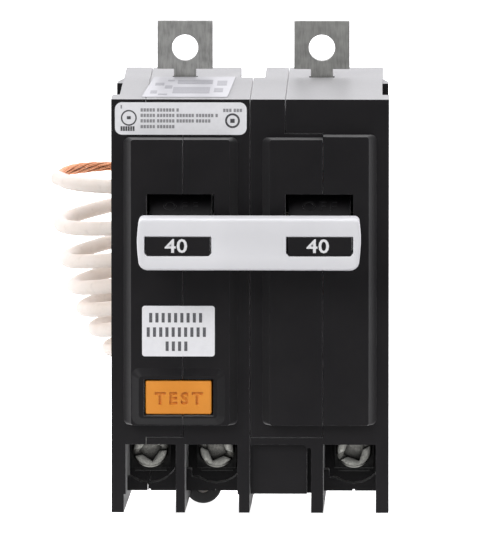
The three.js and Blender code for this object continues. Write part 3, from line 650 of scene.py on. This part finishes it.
def keep_node(node, bevel):
    """A CAD node that stays: welded, flat faces merged, edges rounded by bevel, its own finish."""
    obj = frame["nodes"][node]
    obj.data.materials.clear()
    obj.data.materials.append(SPECIAL.get(node, FINISHES[SLOTS[node]]).material)
    obj.modifiers.new("weld", "NODES").node_group = WELD
    flat = obj.modifiers.new("flat_faces", "DECIMATE")
    flat.decimate_type = "DISSOLVE"
    flat.angle_limit = math.radians(0.3)
    if bevel:
        add_bevel(obj, bevel, 3, 32)
    obj.modifiers.new("smooth", "NODES").node_group = SMOOTH
    weigh_normals(obj)


# ---------------------------------------------------------------- handles and tie


def build_handle_tie():
    """The tie: soft corners all round, one window for each handle's end."""
    x, y, z = span("handle_tie")
    tie = slab("handle_tie_bar", tie_outline(x, z), y, 0.5, 5)
    for side in POLES:
        cut_by(tie, window_cutter(side, (y[0] - 1, y[1] + 1)))
    add_bevel(tie, 0.15, 3, 50)
    finished(with_modifiers(tie), "handle_tie")


WINDOW_HALF = 6.1
WINDOW_HEIGHT = (pivot("handle_throw").z - 2.6, pivot("handle_throw").z + 1.0)


def window_middle(side):
    """The windows stand a little outwards of each pole's middle."""
    at = middle(f"{side}_handle").x
    return math.copysign(12.9, at)


def tie_outline(x, z):
    """The tie's outline: tight upper corners, wider lower corners and slightly bulging ends."""
    upper, lower, bulge = 0.9, 1.7, 0.25
    ends = (x[0] + bulge, x[1] - bulge)
    points = arc((ends[1] - upper, z[1] - upper), upper, 90, 0, 8)
    points += swell(ends[1], z[1] - upper, z[0] + lower, bulge)
    points += arc((ends[1] - lower, z[0] + lower), lower, 0, -90, 8)
    points += arc((ends[0] + lower, z[0] + lower), lower, 270, 180, 8)
    points += swell(ends[0], z[0] + lower, z[1] - upper, -bulge)
    points += arc((ends[0] + upper, z[1] - upper), upper, 180, 90, 8)
    return points


def swell(x, start, end, bulge):
    """Points strictly between two heights on a line that swells sideways by bulge."""
    steps = 8
    return [
        (x + bulge * math.sin(math.pi * i / steps), start + (end - start) * i / steps)
        for i in range(1, steps)
    ]


def window_cutter(side, y):
    """The opening for a handle's end, with clipped lower corners."""
    at = window_middle(side)
    low, high = WINDOW_HEIGHT
    left, right, clip = at - WINDOW_HALF, at + WINDOW_HALF, 0.55
    outline = [(right, high), (left, high), (left, low + clip), (left + clip, low)]
    outline += [(right - clip, low), (right, low + clip)]
    return slab("window", outline, y)


def build_handle_marks(side):
    """The rating number on the handle's end and the off mark on its barrel."""
    node = f"{side}_handle"
    front = span(node)[1][0]
    height = sum(WINDOW_HEIGHT) / 2
    place = (window_middle(side) - 0.3, front - 0.02, height - 0.05)
    number = lettering(f"{side}_rating", "40", 2.45, 0.1, place, 1.03, 0.055, 1.16)
    finished(number, node, PRINT_WHITE, stands_for=False)

    axis = pivot("handle_throw")
    mark = lettering(f"{side}_off_mark", "OFF", 1.9, 0.5, (0, 0, 0), 1.3, 0.03, 1.15)
    barrel_radius = 8.42
    tilt = math.radians(35)
    mark.data.transform(
        Matrix.Translation(Vector((middle(node).x, axis.y, axis.z)) * MM)
        @ Matrix.Rotation(-tilt, 4, "X")
        @ Matrix.Translation(Vector((0, -barrel_radius, 0)) * MM)
    )
    finished(mark, node, stands_for=False)


# ---------------------------------------------------------------- test button


def build_test_button():
    """The orange button: rounded cap with engraved letters, collar and stem."""
    x, y, z = span("test_button")
    rim, length = 0.9, 7.1
    cap_x = (x[0] + rim, x[1] - rim)
    cap_z = (z[0] + rim, z[1] - rim)
    cap = slab("test_cap", rounded_outline(cap_x, cap_z, 0.35, 4), (y[0], y[0] + length), 0.3, 4)
    centre = ((cap_x[0] + cap_x[1]) / 2, y[0], (cap_z[0] + cap_z[1]) / 2 - 0.25)
    letters = lettering("letters", "TEST", 2.1, 0.9, centre, 1.42, 0.12, 1.03)
    cut_by(cap, letters)
    collar = slab("collar", rounded_outline(x, z, 0.6, 4), (y[0] + 6.3, y[0] + 7.5), 0.1, 2)
    stem = turned("stem", [(0, 0), (1.5, 0), (1.5, 2.5), (1.3, 2.75), (0, 2.75)], "Y", (0, 0, 0), 32)
    stem_place = Vector((centre[0], y[0] + length, middle("test_button").z + 0.8))
    stem.data.transform(Matrix.Translation(stem_place * MM))
    button = joined("test_button_cap", [cap, collar, stem])
    finished(button, "test_button")


# ---------------------------------------------------------------- screws and rivets

SCREW_HEAD = 3.3  # radius
SCREW_HEAD_DEPTH = 2.5
SCREW_RIM = 0.35
SCREW_SLOTS = {"load_a": 11, "neutral": -21, "load_b": 26}  # degrees that each slot is turned by


def rounded_rim(radius, rim, angles):
    """Profile points round the front rim of a turned piece, at angles in radians from its face."""
    return [(radius - rim + rim * math.sin(a), rim - rim * math.cos(a)) for a in angles]


def build_terminal_screw(terminal):
    """A terminal screw: chamfered head with slot and square recess, threaded shank."""
    node = f"{terminal}_screw"
    x, y, z = span(node)
    at = Vector(((x[0] + x[1]) / 2, y[0], (z[0] + z[1]) / 2))
    back = SCREW_HEAD_DEPTH
    profile = [(0, 0), (SCREW_HEAD - SCREW_RIM, 0)]
    profile += rounded_rim(SCREW_HEAD, SCREW_RIM, (0.5, 1.0, math.pi / 2))
    profile += [(SCREW_HEAD, back - 0.2), (SCREW_HEAD - 0.2, back), (0, back)]
    head = turned("head", profile, "Y", at)
    angle = Matrix.Rotation(-math.radians(SCREW_SLOTS[terminal]), 4, "Y")
    slot = block("slot", (-5, 5), (-0.6, 1.0), (-0.6, 0.6))
    square = block("square", (-1.55, 1.55), (-0.6, 1.5), (-1.55, 1.55))
    square.data.transform(Matrix.Rotation(math.pi / 4, 4, "Y"))
    for cutter in (slot, square):
        cutter.data.transform(Matrix.Translation(at * MM) @ angle)
    cut_by(head, slot, square)
    add_bevel(head, 0.07, 2, 40)
    with_modifiers(head)
    shank = threaded_shank(at + Vector((0, back - 0.05, 0)), y[1] - at.y - back, 2.4, 0.8)
    finished(joined(f"{terminal}_screw_body", [head, shank]), node)


def threaded_shank(start, length, radius, pitch, depth=0.4, sides=32):
    """A shank with a helical thread, closed at both ends, running along +Y."""
    work = bmesh.new()
    per_pitch = 6
    count = int(length / pitch * per_pitch)
    rings = []
    for i in range(count + 1):
        along = length * i / count
        fade = min(1, (length - along) / 0.8)
        ring = []
        for k in range(sides):
            phase = (along / pitch - k / sides) % 1
            r = radius - depth * abs(2 * phase - 1) - (1 - fade) * 0.3
            a = 2 * math.pi * k / sides
            point = (start.x + r * math.cos(a), start.y + along, start.z - r * math.sin(a))
            ring.append(work.verts.new(point))
        rings.append(ring)
    for lower, upper in zip(rings, rings[1:]):
        for k in range(sides):
            j = (k + 1) % sides
            work.faces.new((lower[k], lower[j], upper[j], upper[k]))
    work.faces.new(rings[0])
    work.faces.new(rings[-1])
    return from_bmesh("shank", work, 60)


def build_rivet(node):
    """A long rivet with a round head on each side of the case."""
    x, y, _ = span(node)
    reach = (x[1] - x[0]) / 2
    head, shank, height = (y[1] - y[0]) / 2, 1.5, 0.9
    dome = [(0, reach)]
    for i in range(1, 9):
        a = math.pi / 2 * i / 8
        dome.append((head * math.sin(a), reach - height + height * (0.15 + 0.85 * math.cos(a))))
    dome += [(head, reach - height), (shank, reach - height)]
    profile = dome + [(r, -along) for r, along in reversed(dome)]
    rivet = turned(f"{node}_body", profile, "X", middle(node), 48)
    finished(rivet, node)


# ---------------------------------------------------------------- labels

PRINT = 0.03  # thickness of printed marks


def word_line(start, end, top, height, word=2.2, stroke=0.42, gap=0.13):
    """A line of print as plain upright blocks, set in words: (left, right, top, bottom) of each."""
    marks = []
    at = start
    left_in_word = word
    while at + stroke <= end:
        marks.append((at, at + stroke, top, top + height))
        at += stroke + gap
        left_in_word -= stroke + gap
        if left_in_word < 0:
            at += 2 * gap
            left_in_word = word * (0.7 + 0.3 * (len(marks) % 3))
    return marks


def print_marks(name, node, finish, marks, rings=()):
    """Printed blocks (left, right, top, bottom) and rings ((across, down), radius, width).

    Places are measured from the top left corner of a front label.
    """
    x, y, z = span(node)
    printed = (y[0] - PRINT, y[0])
    pieces = []
    for left, right, top, bottom in marks:
        across = (x[0] + left, x[0] + right)
        pieces.append(block("mark", across, printed, (z[1] - bottom, z[1] - top)))
    for (across, down), radius, width in rings:
        inner = radius - width
        profile = [(inner, 0), (radius, 0), (radius, PRINT), (inner, PRINT), (inner, 0)]
        centre = (x[0] + across, y[0] - PRINT, z[1] - down)
        pieces.append(turned("ring", profile, "Y", centre, 48))
    finished(joined(name, pieces), node, finish, stands_for=False)


def build_info_print():
    """Four lines of small print, two plain rings and a serial line, all as plain marks."""
    lines = ((12.1, 1.1), (19.2, 2.1), (17.5, 3.1), (11.3, 4.15))
    small = [mark for end, top in lines for mark in word_line(4.7, end, top, 0.6)]
    small += word_line(19.8, 23.3, 1.15, 0.6, word=1.6)
    small += [(1.05, 1.3, 0.5, 1.15)]
    print_marks("info_lines", "info_label", PRINT_GREY, small)
    bold = word_line(1.05, 3.95, 4.4, 0.85, word=4, stroke=0.34, gap=0.1)
    bold += [(2.2, 2.9, 2.55, 3.1), (21.1, 21.9, 3.0, 3.75)]
    rings = (((2.55, 2.85), 1.45, 0.25), ((21.5, 3.35), 1.36, 0.36))
    print_marks("info_marks", "info_label", PRINT_DARK, bold, rings)


def build_notice_print():
    """Three lines of bold capitals, as plain blocks."""
    lines = ((1.3, 11.9, 1.3), (0.85, 12.3, 3.95), (4.3, 8.95, 6.55))
    marks = []
    for start, end, top in lines:
        marks += word_line(start, end, top, 1.75, word=20, stroke=0.56, gap=0.58)
    print_marks("notice_lines", "notice_label", PRINT_BOLD, marks)


def build_sticker_print():
    """Pale blocks on the sticker: (left, right, back, front) as parts of its width and depth."""
    x, y, z = span("top_sticker")
    marks = (
        (0.33, 0.76, 0.16, 0.36),
        (0.33, 0.78, 0.52, 0.82),
        (0.07, 0.18, 0.31, 0.43),
        (0.20, 0.28, 0.16, 0.22),
        (0.21, 0.30, 0.44, 0.58),
        (0.07, 0.15, 0.69, 0.83),
        (0.18, 0.29, 0.84, 0.91),
        (0.82, 0.94, 0.20, 0.43),
        (0.83, 0.94, 0.57, 0.76),
    )
    lean = 1.5
    width, depth = x[1] - x[0] - lean, y[1] - y[0]
    pieces = []
    for left, right, back, front in marks:
        skew = lean * (1 - (back + front) / 2)
        across = (x[0] + skew + width * left, x[0] + skew + width * right)
        along = (y[1] - depth * front, y[1] - depth * back)
        pieces.append(block("mark", across, along, (z[1], z[1] + PRINT)))
    finished(joined("sticker_blocks", pieces), "top_sticker", PRINT_PALE, stands_for=False)


# ---------------------------------------------------------------- pigtail

COIL_RADIUS = 12.0
COIL_DEPTH = 17.0  # the coil's axis, behind the frame's origin
COIL_TURNS = 6
COIL_EDGE = -27.8  # outer edge of the lowest loop
COIL_SPREAD = 13.5  # how far the edges of the upper loops stand out beyond that
COIL_BASE = 26.4  # the lowest loop, above the bushing's lower end
COIL_PITCH = 3.72
WIRE_RADIUS = 1.38


def coil_point(turns):
    """A point of the loose coil, in turns counted up from its lowest loop.

    Each loop stands further out than the one below it, and the top loops are pulled apart.
    """
    edge = COIL_EDGE - COIL_SPREAD * (1 - math.exp(-turns / 4.5))
    height = span("pigtail_bushing")[2][0] + COIL_BASE + COIL_PITCH * turns + 0.008 * turns**4
    angle = 2 * math.pi * turns
    across = COIL_RADIUS * (1 - math.cos(angle))
    back = COIL_RADIUS * math.sin(angle)
    rise = 0.22 - 0.0007 * max(turns, 0) ** 3
    return Vector((edge + across, COIL_DEPTH + back, height + rise * across - 0.06 * back))


def build_pigtail_wire():
    """The insulated wire: from the neutral terminal, out through the bushing, up round the coil."""
    x, _, z = middle("pigtail_bushing")
    inside = [
        (-6.4, -31.6, z + 18.9),
        (-6.7, -30.4, z + 18.9),
        (-9.2, -27.9, z + 20.4),
        (-9.4, -27.4, z + 22.7),
        (-9.4, -27.2, z + 28.1),
        (-7.0, -23.4, z + 30.1),
        (-6.2, -19.0, z + 24.7),
        (-7.4, -15.0, z + 15.7),
        (-8.9, -12.4, z + 9.7),
        (x, -10.8, z + 4.7),
        (x, -9.4, z + 1.1),
        (x, -7.0, z),
    ]
    outside = [
        (x, 0.0, z),
        (x + 0.3, 5.0, z + 1.2),
        (x + 0.8, 9.5, z + 7.7),
        (x + 2.4, 12.0, z + 14.7),
    ]
    per_turn = 12
    start = -0.45
    steps = int((COIL_TURNS - start) * per_turn)
    coil = [coil_point(start + i / per_turn) for i in range(steps + 1)]
    jacket = wire("pigtail_jacket", inside + outside + coil, WIRE_RADIUS, 10, 5)
    finished(jacket, "pigtail_wire")


def build_pigtail_strands():
    """Bare copper strands, twisted, that leave the jacket at the top loop, sag and spread a little."""
    count, steps = 7, 20
    bare_turn, twists = 0.26, 1.1
    pieces = []
    for k in range(count):
        path = []
        for i in range(steps + 1):
            along = i / steps
            centre = coil_point(COIL_TURNS - 0.01 + bare_turn * along)
            centre += Vector((1.5 * along, 0, -2.25 * along**2))
            spread = 0.5 + 0.3 * math.sin(math.pi * along) ** 2
            angle = 2 * math.pi * (k / count + twists * along)
            across, up = math.sin(angle), math.cos(angle)
            centre += Vector((0.25 * up, spread * across, spread * up))
            path.append(centre)
        pieces.append(wire("strand", path, 0.27, 6, 2))
    finished(joined("pigtail_copper", pieces), "pigtail_strands")


def build_pigtail_bushing():
    """Strain relief: a ribbed sleeve with a rounded mouth, open for the wire."""
    x, y, _ = span("pigtail_bushing")
    outer, inner, length = (x[1] - x[0]) / 2, WIRE_RADIUS + 0.12, y[1] - y[0]
    rim = 0.5
    profile = [(inner, 0), (outer - rim, 0)]
    profile += rounded_rim(outer, rim, (0.4, 0.8, 1.2, math.pi / 2))
    for rib in range(3):
        at = 1.4 + 1.4 * rib
        profile += [(outer, at), (outer - 0.35, at + 0.15), (outer - 0.35, at + 0.55), (outer, at + 0.7)]
    profile += [(outer, length), (inner, length), (inner, 0)]
    centre = middle("pigtail_bushing")
    bushing = turned("pigtail_sleeve", profile, "Y", (centre.x, y[0], centre.z))
    finished(bushing, "pigtail_bushing")


# ---------------------------------------------------------------- stage


def ramp(tree, value, start, end, low, high):
    """A value that goes from low to high while the given one goes from start to end."""
    node = tree.nodes.new("ShaderNodeMapRange")
    ends = {"From Min": start, "From Max": end, "To Min": low, "To Max": high}
    for key, limit in ends.items():
        node.inputs[key].default_value = limit
    tree.links.new(value, node.inputs["Value"])
    return node


def back_and_front(tree, kind, output):
    """The Y coordinate of a texture or geometry node's output."""
    where = tree.nodes.new(kind)
    split = tree.nodes.new("ShaderNodeSeparateXYZ")
    tree.links.new(where.outputs[output], split.inputs[0])
    return split.outputs["Y"]


def floor_material():
    """Pale floor, darker in front of the breaker so that it lights it less. The camera sees white."""
    floor = bpy.data.materials.new("pale_floor")
    floor.use_nodes = True
    tree = floor.node_tree
    surface = tree.nodes["Principled BSDF"]
    surface.inputs["Roughness"].default_value = 0.9
    depth = back_and_front(tree, "ShaderNodeNewGeometry", "Position")
    near = ramp(tree, depth, -0.18, -0.02, 0.2, 0.85).outputs["Result"]
    tree.links.new(near, surface.inputs["Base Color"])
    surface.inputs["Emission Color"].default_value = (1, 1, 1, 1)
    seen = tree.nodes.new("ShaderNodeLightPath")
    glow = tree.nodes.new("ShaderNodeMath")
    glow.operation = "MULTIPLY"
    tree.links.new(seen.outputs["Is Glossy Ray"], glow.inputs[0])
    tree.links.new(near, glow.inputs[1])
    either = tree.nodes.new("ShaderNodeMath")
    tree.links.new(seen.outputs["Is Camera Ray"], either.inputs[0])
    tree.links.new(glow.outputs[0], either.inputs[1])
    tree.links.new(either.outputs[0], surface.inputs["Emission Strength"])
    return floor


def build_floor():
    """A wide floor just under the breaker."""
    work = bmesh.new()
    bmesh.ops.create_grid(work, x_segments=1, y_segments=1, size=9000)
    work.transform(Matrix.Translation((0, 0, CAD_BOX[0].z / MM - 0.05)))
    ground = from_bmesh("floor", work)
    ground.data.materials.append(floor_material())


def build_surroundings():
    """Soft light from all round, brighter from behind than from the front."""
    world = bpy.data.worlds.new("studio")
    world.use_nodes = True
    tree = world.node_tree
    background = tree.nodes["Background"]
    direction = back_and_front(tree, "ShaderNodeTexCoord", "Generated")
    fade = ramp(tree, direction, -0.75, 0.9, 0.2, 2.1)
    fade.interpolation_type = "SMOOTHSTEP"
    tree.links.new(fade.outputs["Result"], background.inputs["Strength"])
    background.inputs["Color"].default_value = (0.97, 0.96, 1.0, 1)
    bpy.context.scene.world = world


def build_lights():
    """Two soft lights in front and one overhead."""
    area_light("key", (-750, -1250, 850), 800, 15)
    area_light("fill", (850, -1150, 700), 800, 5)
    area_light("top", (0, -100, 1500), 1200, 5)


VIEW_AZIMUTH = math.radians(0.94)
VIEW_ELEVATION = math.radians(6.8)
VIEW_DISTANCE = 2441.0
FOCAL_HEIGHTS = 13340 / 550  # focal length in picture heights


def build_camera():
    """A distant camera in front of the breaker and a little above it."""
    scene = bpy.context.scene
    scene.view_settings.view_transform = "Standard"
    camera = bpy.data.cameras.new("camera")
    view = bpy.data.objects.new("camera", camera)
    scene.collection.objects.link(view)
    scene.camera = view
    level = math.cos(VIEW_ELEVATION)
    away = Vector(
        (math.sin(VIEW_AZIMUTH) * level, -math.cos(VIEW_AZIMUTH) * level, math.sin(VIEW_ELEVATION))
    )
    aim = Vector((0, span("right_base")[1][0] + 2.6, 5.8))
    view.location = (aim + away * VIEW_DISTANCE) * MM
    view.rotation_mode = "QUATERNION"
    view.rotation_quaternion = (-away).to_track_quat("-Z", "Y")
    camera.sensor_width = 36
    camera.lens = FOCAL_HEIGHTS * camera.sensor_width
    camera.clip_end = 100


def area_light(name, place, size, power):
    """A square soft light that faces the breaker."""
    light = bpy.data.lights.new(name, "AREA")
    light.size = size * MM
    light.energy = power
    lamp = bpy.data.objects.new(name, light)
    lamp.location = Vector(place) * MM
    lamp.rotation_mode = "QUATERNION"
    lamp.rotation_quaternion = (-Vector(place)).to_track_quat("-Z", "Y")
    bpy.context.scene.collection.objects.link(lamp)


# ---------------------------------------------------------------- the breaker

REPLACED = {"handle_tie", "test_button", "pigtail_wire", "pigtail_strands", "pigtail_bushing"}
REPLACED |= {f"{terminal}_screw" for terminal in TERMINALS}
REPLACED |= {node for node in frame["nodes"] if node.startswith("rivet_")}
EDGES = {"moulded_case": 0.16, "plated_copper": 0.1, "label_film": 0.0}
SPECIAL = {"notice_label": WHITE_FILM, "top_sticker": SHADED_STICKER_FILM}
# Clamps and straps get the near-black metal as painted shade for their dark pockets.
SPECIAL |= {f"{terminal}_{piece}": POCKET_SHADE_METAL for terminal in TERMINALS for piece in ("clamp", "strap")}

for node, slot in SLOTS.items():
    if node not in REPLACED:
        keep_node(node, EDGES.get(slot, 0.12))

build_handle_tie()
for side in POLES:
    build_handle_marks(side)
build_test_button()
for terminal in TERMINALS:
    build_terminal_screw(terminal)
for node in sorted(n for n in frame["nodes"] if n.startswith("rivet_")):
    build_rivet(node)
build_info_print()
build_notice_print()
build_sticker_print()
build_pigtail_wire()
build_pigtail_strands()
build_pigtail_bushing()
build_floor()
build_surroundings()
build_lights()
build_camera()
